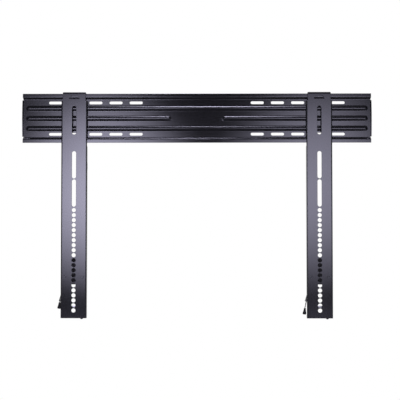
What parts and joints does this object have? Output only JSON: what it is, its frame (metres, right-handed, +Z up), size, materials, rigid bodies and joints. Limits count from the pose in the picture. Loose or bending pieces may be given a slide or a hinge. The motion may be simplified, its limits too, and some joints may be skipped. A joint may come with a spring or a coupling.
{
  "type": "fixed tv wall bracket",
  "caption": "Slim fixed screen mount: a ribbed, folded steel wall plate that carries hooked channel brackets with pull-cord latches and fold-out prop stands.",
  "frame": {"origin": "the middle of the wall plate's back face, on the wall", "axes": "+X to the right along the plate as seen from the room, +Y into the wall, +Z up"},
  "size_m": [0.877, 0.0116, 0.5694],
  "materials": {
    "powder_coat": "satin black powder coat",
    "zinc_steel": "bright zinc plate",
    "cord_braid": "grey braided nylon",
    "moulded_plastic": "matt black moulding",
    "black_oxide": "matt black oxide",
    "rubber": "matt black rubber"
  },
  "bodies": {
    "wall_plate": {"wall_plate": "powder_coat"},
    "left_bracket": {"tv_bracket_left": "powder_coat", "latch_studs_left": "zinc_steel", "latch_spring_left": "zinc_steel", "stand_hinge_left": "black_oxide", "stand_rivets_left": "powder_coat", "stand_pin_left": "zinc_steel"},
    "left_latch": {"latch_plate_left": "zinc_steel", "release_cord_left": "cord_braid", "cord_knot_left": "cord_braid", "pull_toggle_left": "moulded_plastic"},
    "left_stand": {"stand_arm_left": "zinc_steel", "stand_tip_left": "rubber"},
    "right_bracket": {"tv_bracket_right": "powder_coat", "latch_studs_right": "zinc_steel", "latch_spring_right": "zinc_steel", "stand_hinge_right": "black_oxide", "stand_rivets_right": "powder_coat", "stand_pin_right": "zinc_steel"},
    "right_latch": {"latch_plate_right": "zinc_steel", "release_cord_right": "cord_braid", "cord_knot_right": "cord_braid", "pull_toggle_right": "moulded_plastic"},
    "right_stand": {"stand_arm_right": "zinc_steel", "stand_tip_right": "rubber"}
  },
  "joints": [
    {"name": "left_bracket_slide", "type": "slide", "parent": "wall_plate", "child": "left_bracket", "axis": [1, 0, 0], "range_m": [-0.093, 0.257]},
    {"name": "left_latch_pull", "type": "slide", "parent": "left_bracket", "child": "left_latch", "axis": [0, 0, -1], "range_m": [0, 0.007], "stiffness_N_per_m": 400, "springref_m": -0.01, "deforming": ["latch_spring_left"]},
    {"name": "left_stand_swing", "type": "hinge", "parent": "left_bracket", "child": "left_stand", "pos_m": [-0.307, -0.0045, -0.3604], "axis": [1, 0, 0], "range_deg": [0, 80]},
    {"name": "right_bracket_slide", "type": "slide", "parent": "wall_plate", "child": "right_bracket", "axis": [1, 0, 0], "range_m": [-0.257, 0.093]},
    {"name": "right_latch_pull", "type": "slide", "parent": "right_bracket", "child": "right_latch", "axis": [0, 0, -1], "range_m": [0, 0.007], "stiffness_N_per_m": 400, "springref_m": -0.01, "deforming": ["latch_spring_right"]},
    {"name": "right_stand_swing", "type": "hinge", "parent": "right_bracket", "child": "right_stand", "pos_m": [0.307, -0.0045, -0.3604], "axis": [1, 0, 0], "range_deg": [0, 80]}
  ]
}
